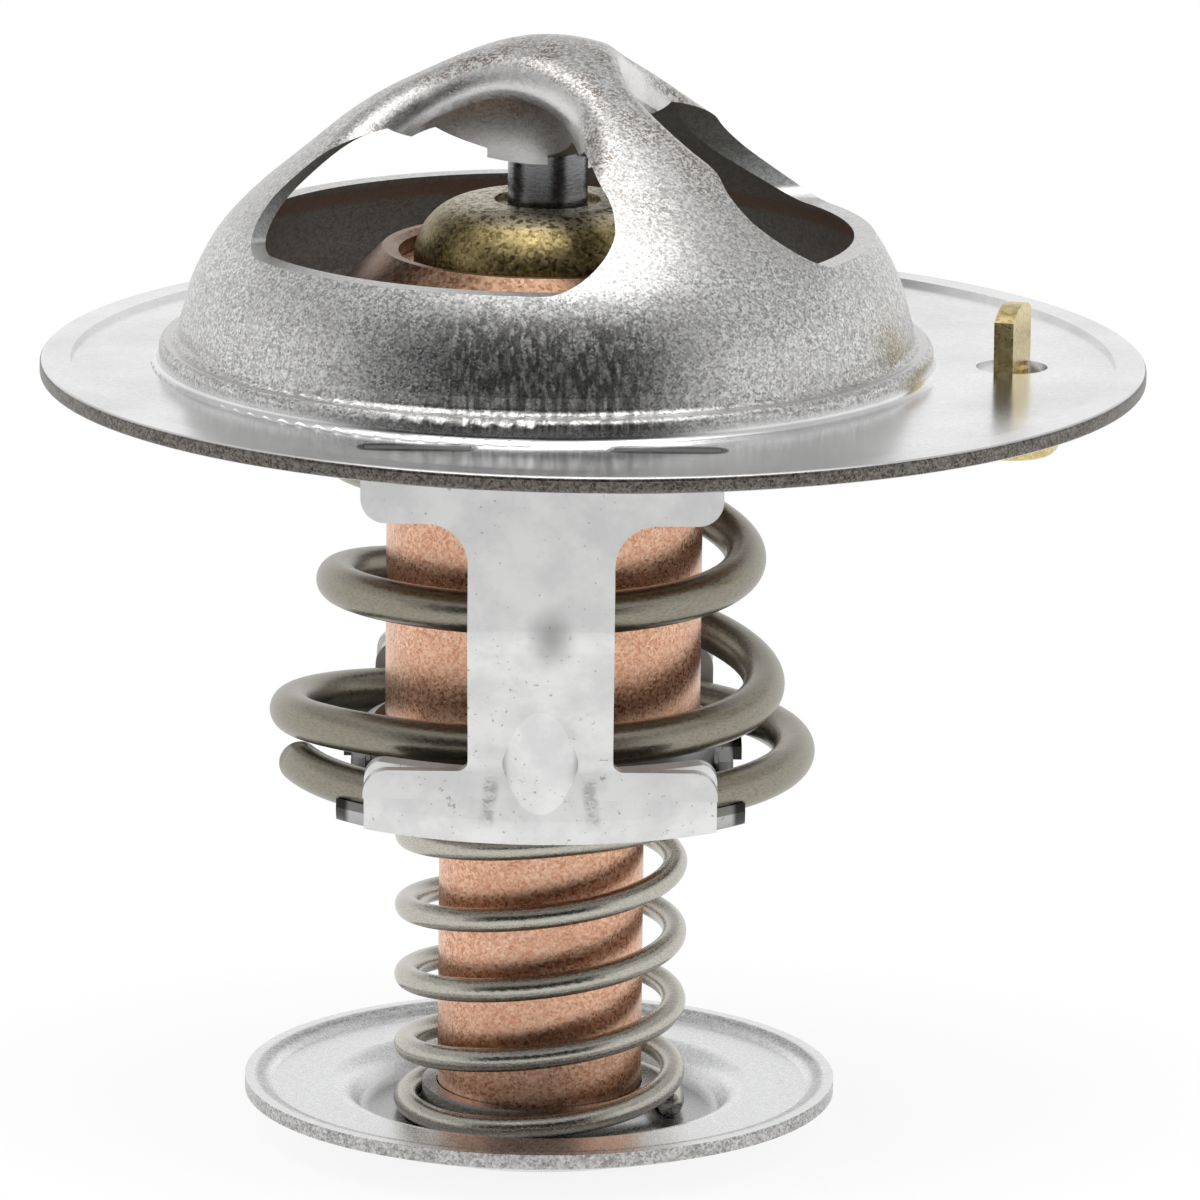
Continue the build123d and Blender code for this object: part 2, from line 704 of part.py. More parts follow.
with BuildPart() as bypass_disc:
    with BuildSketch(Plane.XZ):
        with BuildLine():
            FilletPolyline(
                (COLLAR_R, FLOOR_MID_Z + DISC_COLLAR_H),
                (COLLAR_R, FLOOR_MID_Z),
                (RECESS_R, FLOOR_MID_Z),
                (RECESS_R + RECESS_DEPTH * 0.6, WEB_MID_Z),
                (DISC_R - DISC_LIP_W - DISC_LIP_RISE, WEB_MID_Z),
                (DISC_R - DISC_LIP_W, WEB_MID_Z + DISC_LIP_RISE),
                (DISC_R, WEB_MID_Z + DISC_LIP_RISE),
                radius=(COLLAR_BEND_R, RECESS_BEND_R, RECESS_BEND_R, LIP_BEND_R, LIP_BEND_R),
            )
        trace(line_width=DISC_SHEET)
    revolve(axis=Axis.Z)

finish(bypass_disc, "bypass_disc")

BYPASS_FOOT_Z = DISC_FLOOR_Z + DISC_SHEET + BYPASS_WIRE / 2 + CUP_GAP
BYPASS_TOP_Z = SHOULDER_Z - BYPASS_WIRE / 2 - CUP_GAP
BYPASS_RISE_DEG = BYPASS_START_DEG + BYPASS_SEAT_DEG
BYPASS_CLOSE_DEG = BYPASS_RISE_DEG + 360 * (BYPASS_TOP_Z - BYPASS_FOOT_Z) / BYPASS_PITCH
BYPASS_END_DEG = BYPASS_CLOSE_DEG + BYPASS_DEAD_DEG


def bypass_radius(turn):
    """The small spring is a plain cylinder."""
    return BYPASS_COIL_R


def bypass_height(turn):
    """Flat in the disc's recess, an even pitch, and flat under the shoulder."""
    share = clamp((turn - BYPASS_RISE_DEG) / (BYPASS_CLOSE_DEG - BYPASS_RISE_DEG))
    return BYPASS_FOOT_Z + share * (BYPASS_TOP_Z - BYPASS_FOOT_Z)


def bypass_lean(turn):
    """Its free coils tip the other way from the main spring's."""
    rise = clamp((turn - BYPASS_RISE_DEG) / LEAN_RAMP_DEG)
    fall = clamp((BYPASS_CLOSE_DEG - turn) / LEAN_RAMP_DEG)
    return BYPASS_LEAN * rise * fall


with BuildPart() as bypass_spring:
    with BuildLine() as bypass_coil:
        Spline(
            *coil_points(
                BYPASS_START_DEG, BYPASS_END_DEG, bypass_radius, bypass_height, bypass_lean
            )
        )
    with BuildSketch(Plane(origin=bypass_coil.line @ 0, z_dir=bypass_coil.line % 0)):
        Circle(BYPASS_WIRE / 2)
    sweep()

finish(bypass_spring, "bypass_spring")

with BuildPart() as snap_ring:
    with BuildSketch(Plane.XZ):
        with Locations((RING_MID_R, RING_Z)):
            Circle(RING_WIRE / 2)
    revolve(axis=Axis.Z, revolution_arc=360 - RING_GAP_DEG)

finish(snap_ring, "snap_ring")

# -------------------------------------------------------------- vent pin ----
WEIGHT_TOP_Z = WEB_Z - VENT_FLOAT - SEAT_CLEAR
PADDLE_PLANE = Plane(
    origin=(VENT_X, 0, FACE_Z),
    x_dir=(sin(radians(PADDLE_TURN)), cos(radians(PADDLE_TURN)), 0),
    z_dir=(cos(radians(PADDLE_TURN)), -sin(radians(PADDLE_TURN)), 0),
)

with BuildPart() as jiggle_pin:
    with BuildSketch(PADDLE_PLANE):
        with BuildLine():
            blade = Polyline(
                (-PADDLE_W / 2, PADDLE_EDGE_H),
                (-PADDLE_W / 2, 0),
                (PADDLE_W / 2, 0),
                (PADDLE_W / 2, PADDLE_EDGE_H),
            )
            ThreePointArc(blade @ 1, (0, PADDLE_H), blade @ 0)
        make_face()
    extrude(amount=PADDLE_T / 2, both=True)
    with BuildSketch(Plane.XY.offset(WEIGHT_TOP_Z - WEIGHT_L)):
        with Locations((VENT_X, 0)):
            Circle(SHANK_R)
    extrude(amount=FACE_Z - WEIGHT_TOP_Z + WEIGHT_L)

finish(jiggle_pin, "jiggle_pin")

with BuildPart() as jiggle_weight:
    with BuildSketch(Plane.XY.offset(WEIGHT_TOP_Z)):
        with Locations((VENT_X, 0)):
            Circle(WEIGHT_R)
            Circle(SHANK_R, mode=Mode.SUBTRACT)
    extrude(amount=-WEIGHT_L)
    rounds = jiggle_weight.edges().filter_by(GeomType.CIRCLE)
    fillet(rounds.filter_by(lambda e: e.radius > SHANK_R + 0.01), WEIGHT_EDGE_R)

finish(jiggle_weight, "jiggle_weight")
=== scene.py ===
# %% [markdown]
# # An engine cooling valve, dressed for its portrait
#
# The CAD model gives every solid of the valve in its real place. This scene
# keeps that frame, gives each piece the finish that the real one leaves the
# factory with, and lights it as a small product on a white table.

from math import atan2, cos, degrees, radians, sin

import bpy
from mathutils import Matrix, Vector


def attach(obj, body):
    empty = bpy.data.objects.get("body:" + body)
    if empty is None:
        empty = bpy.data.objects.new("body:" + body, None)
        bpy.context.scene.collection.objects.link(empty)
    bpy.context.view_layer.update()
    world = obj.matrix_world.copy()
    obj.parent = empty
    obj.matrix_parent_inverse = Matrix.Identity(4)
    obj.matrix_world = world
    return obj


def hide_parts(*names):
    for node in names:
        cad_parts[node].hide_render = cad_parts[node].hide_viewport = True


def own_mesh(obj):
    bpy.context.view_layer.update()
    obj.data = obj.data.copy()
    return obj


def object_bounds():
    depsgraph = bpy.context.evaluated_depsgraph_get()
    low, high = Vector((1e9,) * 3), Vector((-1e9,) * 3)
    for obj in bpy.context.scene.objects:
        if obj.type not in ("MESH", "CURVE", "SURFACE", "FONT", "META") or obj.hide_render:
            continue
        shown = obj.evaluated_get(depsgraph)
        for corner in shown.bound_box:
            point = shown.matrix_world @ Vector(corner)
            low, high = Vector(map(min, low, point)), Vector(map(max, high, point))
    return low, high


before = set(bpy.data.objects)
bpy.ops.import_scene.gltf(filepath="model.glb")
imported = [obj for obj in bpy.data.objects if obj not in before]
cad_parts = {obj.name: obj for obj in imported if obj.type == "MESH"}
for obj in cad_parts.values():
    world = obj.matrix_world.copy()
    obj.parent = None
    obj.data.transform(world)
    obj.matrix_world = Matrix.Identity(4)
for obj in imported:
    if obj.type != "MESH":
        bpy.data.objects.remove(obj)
cad_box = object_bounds()
bpy.ops.object.select_all(action="DESELECT")
MM = 0.001
print("nodes:", len(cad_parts))

# %% [markdown]
# ## Light levels
#
# The levels stand together here because they are set against one another. The
# lamps and the sky stay low enough that the zinc doesn't clip to white, and
# the white round the valve comes from what the camera sees, not from light.

# %% Light levels
TABLE_WHITE = 0.82  # share of plain white that the camera sees on the table
SKY = 0.90
TOP_W = 0.8
LEFT_W = 0.6
RIGHT_W = 0.4
DARK = 0.03  # front of the cloth screen
GREY = 0.60  # top of the cloth screen
print("lamps:", TOP_W, LEFT_W, RIGHT_W, "W, sky:", SKY)

# %% [markdown]
# ## Shader arithmetic
#
# A finish is mostly small sums on patterns: a grain here, a stain there, less
# of both on the polished flange. Written as node calls such sums are hard to
# read, so a little class wraps a socket and lets Python's own operators add
# the Math nodes. Colours don't go through it, because a Math node turns a
# colour grey: they have a mix of their own.


# %% A socket that can be added and multiplied
class Wire:
    """One output socket, with the arithmetic that its numbers need."""

    def __init__(self, finish, socket):
        self.finish = finish
        self.socket = socket

    def maths(self, operation, first, second=0.0, third=0.0):
        """Adds one Math node and returns its result."""
        settings = {"operation": operation}
        return self.finish.node("ShaderNodeMath", settings, {0: first, 1: second, 2: third})

    def __add__(self, other):
        return self.maths("ADD", self, other)

    def __radd__(self, other):
        return self.maths("ADD", other, self)

    def __sub__(self, other):
        return self.maths("SUBTRACT", self, other)

    def __rsub__(self, other):
        return self.maths("SUBTRACT", other, self)

    def __mul__(self, other):
        return self.maths("MULTIPLY", self, other)

    def __rmul__(self, other):
        return self.maths("MULTIPLY", other, self)

    def __truediv__(self, other):
        return self.maths("DIVIDE", self, other)

    def __pow__(self, other):
        return self.maths("POWER", self, other)

    def step(self, low, high):
        """0 below low and 1 above high, with a soft run between them."""
        settings = {"interpolation_type": "SMOOTHSTEP"}
        limits = {"From Min": low, "From Max": high}
        return self.finish.node("ShaderNodeMapRange", settings, {"Value": self, **limits})


print("socket arithmetic ready")


# %% A material and its short ways to add nodes
class Finish:
    """A material under construction, with its shader and its object coordinates."""

    def __init__(self, name, metallic=1.0, roughness=0.4):
        self.material = bpy.data.materials.new(name)
        self.material.use_nodes = True
        self.tree = self.material.node_tree
        self.tree.nodes.clear()
        self.shader = self.tree.nodes.new("ShaderNodeBsdfPrincipled")
        self.shader.inputs["Metallic"].default_value = metallic
        self.shader.inputs["Roughness"].default_value = roughness
        self.out = self.tree.nodes.new("ShaderNodeOutputMaterial")
        self.tree.links.new(self.shader.outputs[0], self.out.inputs["Surface"])
        self.place = self.node("ShaderNodeTexCoord", out="Object")

    def node(self, kind, settings=None, values=None, out=0):
        """Adds any node: its settings first, then the values or wires of its sockets."""
        made = self.tree.nodes.new(kind)
        for key, value in (settings or {}).items():
            setattr(made, key, value)
        for key, value in (values or {}).items():
            self.feed(made.inputs[key], value)
        return Wire(self, made.outputs[out])

    def feed(self, socket, value):
        """Links a wire to a socket, or sets a plain value on it."""
        if isinstance(value, Wire):
            self.tree.links.new(value.socket, socket)
        else:
            socket.default_value = value

    def give(self, name, value):
        """Feeds one of the shader's own sockets."""
        self.feed(self.shader.inputs[name], value)

    def mix(self, share, first, second):
        """A colour between two others."""
        settings = {"data_type": "RGBA"}
        made = self.node("ShaderNodeMix", settings, {0: share}, out=2)
        mixer = made.socket.node
        self.feed(mixer.inputs[6], first if isinstance(first, Wire) else (*first, 1.0))
        self.feed(mixer.inputs[7], second if isinstance(second, Wire) else (*second, 1.0))
        return made

    def stretched(self, x=1.0, y=1.0, z=1.0):
        """The object's own coordinates, stretched before a pattern reads them."""
        return self.node("ShaderNodeMapping", None, {"Vector": self.place, "Scale": (x, y, z)})

    def noise(self, grain_mm, detail=3.0, roughness=0.55, vector=None):
        """A cloudy pattern whose patches are about this many millimetres across."""
        values = {"Scale": 1.0 / (grain_mm * MM), "Detail": detail, "Roughness": roughness}
        values["Vector"] = vector or self.place
        return self.node("ShaderNodeTexNoise", None, values)

    def bump(self, height, depth_mm, strength=1.0):
        """Presses a pattern this many millimetres into the surface."""
        values = {"Height": height, "Distance": depth_mm * MM, "Strength": strength}
        self.give("Normal", self.node("ShaderNodeBump", None, values))

    def axes(self):
        """X, Y, Z and the distance from the valve's axis, in millimetres."""
        split = self.node("ShaderNodeSeparateXYZ", None, {"Vector": self.place}).socket.node
        x, y, z = (Wire(self, split.outputs[i]) / MM for i in range(3))
        return x, y, z, (x * x + y * y) ** 0.5

    def normal(self):
        """The three parts of the surface's own normal."""
        way = Wire(self, self.place.socket.node.outputs["Normal"])
        split = self.node("ShaderNodeSeparateXYZ", None, {"Vector": way}).socket.node
        return tuple(Wire(self, split.outputs[i]) for i in range(3))


FINISHES = {}
print("shader helpers ready")

# %% [markdown]
# ## Tumbled and polished steel
#
# The bridge stamping is tumbled after pressing, which leaves a speckled satin
# skin, and its flange stays as smooth as the strip it was pressed from. Both
# are one piece, so one finish does both: the height above the flange decides
# how much grain there is.


# %% Speckled skin shared by the tumbled pieces
CELL_SHARE, CLOUD_SHARE = 0.80, 0.20
CLOUD_SIZE = 2.4  # in grains


def speckle(finish, grain_mm):
    """Light and dark flecks about one grain across, from 0 to 1."""
    values = {"Scale": 1.0 / (grain_mm * MM), "Vector": finish.place}
    cells = finish.node("ShaderNodeTexVoronoi", None, values, "Color")
    split = finish.node("ShaderNodeSeparateColor", None, {0: cells}).socket.node
    fine = Wire(finish, split.outputs[0])
    coarse = finish.noise(grain_mm * CLOUD_SIZE, 2.0, 0.6).step(0.36, 0.64)
    return fine * CELL_SHARE + coarse * CLOUD_SHARE


print("speckle: cells", CELL_SHARE, "clouds", CLOUD_SHARE)

# %% [markdown]
# ### Where the bridge changes
#
# The stamping is one piece of steel, but its skin differs from place to place:
# painted shade inside with a painted copper reflection along the sill, cut
# edges lightened partly as a painted highlight, a smoothed tongue in each
# window, a sheared rim and painted shadow in the slots round the leg tabs.
# Each place is a mask from 0 to 1, made from the heights, the radius and the
# direction that the surface faces.

# %% Masks of the bridge
BALL_Z = 1.0  # centre, in mm, that the dome's outer skin faces away from
FLANGE_CENTRE_X = 2.3
RIM_R = 26.85
RIM_BAND = 0.15
SLOT_X, SLOT_Y, SLOT_HALF, SLOT_DEEP = 5.9, 19.75, 2.9, 0.9


def bridge_masks(finish):
    """The named places of the bridge and flange."""
    x, y, z, r = finish.axes()
    nx, ny, nz = finish.normal()
    up = z - BALL_Z
    reach = (x * x + y * y + up * up) ** 0.5
    outward = (nx * x + ny * y + nz * up) / reach
    dome = z.step(0.75, 1.3)
    tongue = z.step(9.6, 10.2) * (1.0 - r.step(6.0, 7.2)) * (1.0 - outward.step(0.6, 0.85))
    inside = dome * (0.0 - outward).step(0.05, 0.2) * (1.0 - tongue)
    cut = dome * (1.0 - outward.step(0.30, 0.45)) * (1.0 - inside) * (1.0 - tongue)
    shift = x - FLANGE_CENTRE_X
    rim = (shift * shift + y * y) ** 0.5
    along = ((x * x) ** 0.5 - SLOT_X) / SLOT_HALF
    over = (y + SLOT_Y) / SLOT_DEEP
    gap = 1.0 - (along**8.0 + over * over).step(0.6, 1.1)
    return {
        "dome": dome,
        "tongue": tongue,
        "inside": inside,
        "cut": cut,
        "wall": dome * (1.0 - z.step(5.2, 7.2)),
        # Where the dome faces the camera side; this carries a painted dark reflection.
        "front": (0.0 - y / r).step(0.93, 0.985),
        "upper": dome * z.step(6.8, 8.5),
        "crown": z.step(8.0, 14.5),
        # A band along the window sill that carries a painted copper reflection.
        "sill": z.step(5.7, 6.1) - z.step(6.6, 6.9),
        "rim_edge": rim.step(RIM_R - RIM_BAND, RIM_R) * (1.0 - (nz * nz).step(0.35, 0.75)),
        # The slots round the leg tabs, which carry a painted shadow.
        "tab_slot_shadow": gap * z.step(0.4, 0.5),
    }


print("flange rim at", RIM_R, "mm, leg tabs at", SLOT_X, "and", SLOT_Y, "mm")


# %% Colours of the bridge
def dome_colour(finish, place, flecks):
    """Tumbled steel: streaks on the wall, darker at the front as a painted reflection, a warm
    crown, cut edges lightened partly as a painted highlight, and painted shade inside.
    """
    cloud = finish.noise(4.0, 3.0, 0.6).step(0.35, 0.7)
    warm = place["crown"] * finish.noise(2.6, 3.0, 0.6).step(0.40, 0.62)
    warm = warm * (1.0 - flecks).step(0.3, 0.8)
    drawn = finish.stretched(1.0, 1.0, 0.07)
    streaks = finish.noise(0.26, 2.0, 0.6, drawn).step(0.36, 0.60) * place["wall"]
    skin = finish.mix(flecks, (0.26, 0.256, 0.25), (0.98, 0.975, 0.965))
    skin = finish.mix(cloud * 0.25, skin, (0.46, 0.45, 0.44))
    # Painted reflection: at the front the streaks darken strongly, standing for the dark
    # surroundings that the wall mirrors.
    skin = finish.mix(streaks * (0.12 + place["front"] * 0.6), skin, (0.08, 0.075, 0.07))
    skin = finish.mix(place["upper"] * 0.28, skin, (0.36, 0.35, 0.34))
    skin = finish.mix(warm * 0.8, skin, (0.17, 0.115, 0.08))
    skin = finish.mix(place["tongue"] * 0.75, skin, (0.88, 0.875, 0.86))
    # Painted shade: the inside of the dome is darkened.
    painted_inside_shade = finish.mix(flecks, (0.15, 0.158, 0.155), (0.30, 0.312, 0.305))
    # Painted reflection: a brown band along the sill stands for the copper element mirrored
    # inside the dome.
    painted_inside_shade = finish.mix(place["sill"] * 0.6, painted_inside_shade, (0.24, 0.13, 0.08))
    skin = finish.mix(place["inside"], skin, painted_inside_shade)
    # The cut edges are lightened: partly bare sheared steel, partly a painted edge highlight.
    return finish.mix(place["cut"] * 0.8, skin, (0.74, 0.73, 0.72))


def flange_colour(finish, place, flecks):
    """Smooth strip with a sheared rim and painted shadow in the slots round the leg tabs."""
    brushed = finish.stretched(1.0, 1.0, 0.2)
    polish = finish.noise(7.0, 2.0, 0.5, brushed).step(0.3, 0.7)
    skin = finish.mix(polish, (0.74, 0.74, 0.745), (0.88, 0.88, 0.885))
    skin = finish.mix(flecks * 0.12, skin, (0.45, 0.45, 0.45))
    sheared = finish.mix(flecks, (0.05, 0.044, 0.038), (0.27, 0.25, 0.225))
    skin = finish.mix(place["rim_edge"], skin, sheared)
    # Painted shadow: the slots round the leg tabs are near black.
    return finish.mix(place["tab_slot_shadow"], skin, (0.02, 0.02, 0.02))


print("bridge colours ready")


# %% Bridge and flange
def bridge_finish():
    """Tumbled dome with a warm cast on its crown, polished flange below it."""
    finish = Finish("bridge_steel")
    place = bridge_masks(finish)
    dome, edge, inside = place["dome"], place["rim_edge"], place["inside"]
    flecks = speckle(finish, 0.10)
    flange = flange_colour(finish, place, flecks)
    finish.give("Base Color", finish.mix(dome, flange, dome_colour(finish, place, flecks)))
    finish.give("Metallic", 1.0 - inside * 0.9)
    finish.give("Roughness", 0.17 + dome * 0.13 + flecks * 0.08 + edge * 0.15 + inside * 0.25)
    finish.bump(flecks * (0.12 + dome * 0.88) + edge * flecks, 0.009, 0.8)
    return finish.material


FINISHES["flange_bridge"] = bridge_finish()
print("finish made:", FINISHES["flange_bridge"].name)

# %% [markdown]
# ### The disc
#
# The bypass disc has the same tumbled skin, brighter and finer. Its well, under
# the small spring, and the groove inside its rim are darkened with painted shade,
# and the sheared edge of the rim itself is darker too.


# %% Bypass disc
def disc_finish():
    """Bright tumbled skin with painted shade in the well and rim groove, and a dark sheared
    edge.
    """
    finish = Finish("disc_steel")
    x, y, z, r = finish.axes()
    nx, ny, nz = finish.normal()
    flecks = speckle(finish, 0.11)
    rim = r.step(14.1, 14.5) * (1.0 - (nz * nz).step(0.2, 0.6))
    groove_shade = r.step(13.3, 13.7) * (1.0 - r.step(13.9, 14.2))
    well_shade = 1.0 - r.step(8.2, 9.6)
    body = finish.mix(flecks, (0.72, 0.725, 0.74), (1.0, 1.0, 1.0))
    # Painted shade in the well under the small spring and in the rim groove.
    body = finish.mix(well_shade * 0.6, body, (0.26, 0.255, 0.25))
    body = finish.mix(groove_shade * (0.35 + 0.4 * (1.0 - flecks)), body, (0.22, 0.215, 0.21))
    sheared = finish.mix(flecks, (0.10, 0.097, 0.09), (0.6, 0.59, 0.57))
    finish.give("Base Color", finish.mix(rim * 0.8, body, sheared))
    finish.give("Roughness", 0.24 + flecks * 0.10)
    finish.bump(flecks, 0.007, 0.7)
    return finish.material


FINISHES["bypass_disc"] = disc_finish()
print("tumbled finishes:", sorted(FINISHES))

# %% [markdown]
# ## Zinc plate
#
# The legs and the spring seat are zinc plated: nearly white, soft in gloss,
# with a few fine pits. Painted shade darkens the dents beside the rib, painted
# shadow the leg tab ends, and painted dark reflections the seat's ends and the
# front leg's bend.


# %% Painted shade and reflection on the zinc
DENT_X, DENT_Z, DENT_HALF = 2.45, 17.9, 0.45
DENT_SLOPE = 0.12
BEND_PATCH_HALF_W, BEND_PATCH_HALF_H = 1.5, 2.2
EAR_X = 9.2  # the seat's ends reach out past the legs from here


def dents_and_shade(finish, x, z):
    """Two short soft dents, one on each side of the pressed rib, darkened with painted shade.
    """
    below = z + DENT_Z
    beside = (x * x) ** 0.5 - DENT_X + below * DENT_SLOPE
    dent_and_shade = (1.0 - (beside * beside).step(0.0, DENT_HALF**2)) * (below + 1.5).step(0.0, 0.8)
    dent_and_shade = dent_and_shade * (1.0 - (below - 1.0).step(0.0, 0.5)) * (1.0 - z.step(-15.0, -14.0))
    return dent_and_shade * (0.4 + 0.6 * finish.noise(0.5, 2.0, 0.6).step(0.4, 0.6))


def bend_reflection_patch(x, z, at):
    """One soft round patch of painted dark reflection, where the leg bends."""
    across, high = (x - at[0]) / BEND_PATCH_HALF_W, (z - at[1]) / BEND_PATCH_HALF_H
    return 1.0 - ((across * across + high * high) ** 0.5).step(0.0, 1.0)


print("dents at x = +/-", DENT_X, "mm")


# %% Legs and spring seat
def zinc_finish(name, tone, bend_reflection_at=None, dented=True):
    """Matt zinc of a given tone, with pits, dark sheared edges, painted shade and painted dark
    reflections.
    """
    finish = Finish(name, metallic=0.7)
    x, y, z, r = finish.axes()
    nx, ny, nz = finish.normal()
    cloud = finish.noise(2.6, 4.0, 0.62).step(0.34, 0.68)
    pits = finish.noise(0.30, 2.0, 0.5).step(0.67, 0.73)
    sheared = (nx * nx).step(0.35, 0.75)
    ear_shear_and_reflection = (x * x).step(EAR_X**2, (EAR_X + 0.3) ** 2)
    tab_end_shadow = z.step(0.40, 0.45)
    dent_and_shade = dents_and_shade(finish, x, z)
    dark = tuple(tone * c for c in (0.80, 0.81, 0.80))
    plate = finish.mix(cloud, dark, (tone, tone, tone * 0.99))
    plate = finish.mix(pits * 0.6, plate, (0.26, 0.26, 0.25))
    plate = finish.mix(sheared * 0.8, plate, (0.14, 0.14, 0.135))
    # The seat's ends are darkened: partly their sheared steel, partly a painted dark
    # reflection of the coil above them.
    plate = finish.mix(ear_shear_and_reflection * (1.0 - tone) * 2.0, plate, (0.02, 0.019, 0.018))
    # Painted shadow: the leg tab ends, sunk in the flange slots, are near black.
    plate = finish.mix(tab_end_shadow * 0.9, plate, (0.05, 0.05, 0.05))
    if dented:
        # Painted shade in the dents.
        plate = finish.mix(dent_and_shade * 0.55, plate, (0.30, 0.30, 0.29))
    if bend_reflection_at:
        # Painted dark reflection at the front leg's bend.
        plate = finish.mix(bend_reflection_patch(x, z, bend_reflection_at) * 0.75, plate, (0.26, 0.265, 0.26))
    finish.give("Base Color", plate)
    finish.give("Roughness", 0.40 + cloud * 0.12)
    finish.bump(cloud * 0.6 - pits - dent_and_shade * 3.0, 0.02, 0.6)
    return finish.material


FINISHES["front_leg"] = zinc_finish("front_leg_zinc", 0.84, (0.5, -8.6))
FINISHES["rear_leg"] = zinc_finish("rear_leg_zinc", 0.84)
FINISHES["spring_seat"] = zinc_finish("seat_zinc", 0.52, dented=False)
print("zinc finishes made")

# %% [markdown]
# ## Spring wire, piston and snap ring
#
# Drawn wire keeps faint lines along its length and a slightly oily, greenish
# grey. The piston is ground and much darker, because it mirrors the shaded
# inside of the bridge.


# %% Wire and ground steel
def wire_finish(name, colour, roughness, line_mm):
    """Satin steel with a fine grain."""
    finish = Finish(name)
    lines = finish.noise(line_mm, 2.0, 0.6, finish.stretched(1.0, 1.0, 3.0)).step(0.3, 0.7)
    dark = tuple(0.72 * c for c in colour)
    finish.give("Base Color", finish.mix(lines, dark, colour))
    finish.give("Roughness", roughness + lines * 0.08)
    finish.bump(lines, 0.006, 0.4)
    return finish.material


OLIVE_STEEL = (0.335, 0.31, 0.25)
FINISHES["main_spring"] = wire_finish("main_wire", OLIVE_STEEL, 0.27, 0.25)
FINISHES["bypass_spring"] = wire_finish("bypass_wire", (0.58, 0.555, 0.49), 0.22, 0.2)
FINISHES["piston"] = wire_finish("ground_piston", (0.30, 0.30, 0.31), 0.22, 0.4)
FINISHES["snap_ring"] = wire_finish("ring_wire", (0.40, 0.40, 0.40), 0.30, 0.3)
print("wire finishes made")

# %% [markdown]
# ## Copper, brass and the warm valve plate
#
# The wax element's cup is deep-drawn copper, blasted to a sparkling orange
# skin. The cap is dull brass with dark pores, paler on its top, and the valve
# plate is steel with a thin copper flash.


# %% Copper and brass
def grainy_finish(name, low, high, grain_mm, roughness, depth_mm, pale_above=None):
    """A metal with a sparkling grain between two colours."""
    finish = Finish(name)
    flecks = speckle(finish, grain_mm)
    cloud = finish.noise(3.0, 3.0, 0.6).step(0.35, 0.7)
    colour = finish.mix(flecks, low, high)
    colour = finish.mix(cloud * 0.2, colour, low)
    if pale_above:
        height = finish.axes()[2]
        crest = height.step(pale_above, pale_above + 0.9) * flecks.step(0.25, 0.55)
        colour = finish.mix(crest * 0.7, colour, (0.86, 0.82, 0.72))
    finish.give("Base Color", colour)
    finish.give("Roughness", roughness + flecks * 0.12)
    finish.bump(flecks, depth_mm, 0.8)
    return finish.material


FINISHES["element_cup"] = grainy_finish(
    "blasted_copper", (0.52, 0.225, 0.13), (1.0, 0.68, 0.49), 0.12, 0.24, 0.016
)
FINISHES["guide_cap"] = grainy_finish(
    "dull_brass", (0.10, 0.075, 0.03), (0.54, 0.43, 0.20), 0.16, 0.32, 0.025, pale_above=7.9
)
FINISHES["valve_plate"] = grainy_finish(
    "copper_flash", (0.12, 0.06, 0.035), (0.42, 0.26, 0.17), 0.16, 0.28, 0.012
)
for piece in ("jiggle_pin", "jiggle_weight"):
    FINISHES[piece] = grainy_finish(
        piece + "_brass", (0.52, 0.40, 0.15), (0.86, 0.72, 0.38), 0.18, 0.26, 0.01
    )
print("warm finishes made")

# %% [markdown]
# ## Inside the element
#
# Wax, seals and discs never show while the valve is whole, but someone may
# open it up, so each has its own plain finish.


# %% Wax, rubber and the slippery disc
def soft_finish(name, colour, roughness):
    """A plain non-metal with a little unevenness."""
    finish = Finish(name, metallic=0.0, roughness=roughness)
    cloud = finish.noise(1.5, 3.0, 0.6)
    dark = tuple(0.82 * c for c in colour)
    finish.give("Base Color", finish.mix(cloud, dark, colour))
    finish.bump(cloud, 0.02, 0.3)
    return finish.material


FINISHES["wax_charge"] = soft_finish("copper_wax", (0.72, 0.52, 0.38), 0.5)
FINISHES["diaphragm"] = soft_finish("diaphragm_rubber", (0.05, 0.05, 0.05), 0.7)
FINISHES["rubber_plug"] = soft_finish("plug_rubber", (0.06, 0.06, 0.06), 0.7)
FINISHES["backup_disc"] = soft_finish("disc_polymer", (0.85, 0.84, 0.80), 0.4)
print("soft finishes made")

# %% [markdown]
# ## Springs joined into one skin
#
# A CAD solid is rigid, but a spring gets shorter when the valve opens. Here
# each spring is copied, its loose triangles are joined into one skin, and the
# copy stands in for the CAD spring, carried by the body that moves it. The
# main spring's foot coil also runs on a little further: its end face is spun
# round the valve's axis.

# %% The foot coil's last stretch
START_DEG = 235.0
RUN_ON_DEG = 38.0
END_FACE_LOW, END_FACE_IN, END_FACE_THICK = -17.0 * MM, 11.0 * MM, 0.6 * MM
COIL_FOOT_LOW = -19.5 * MM


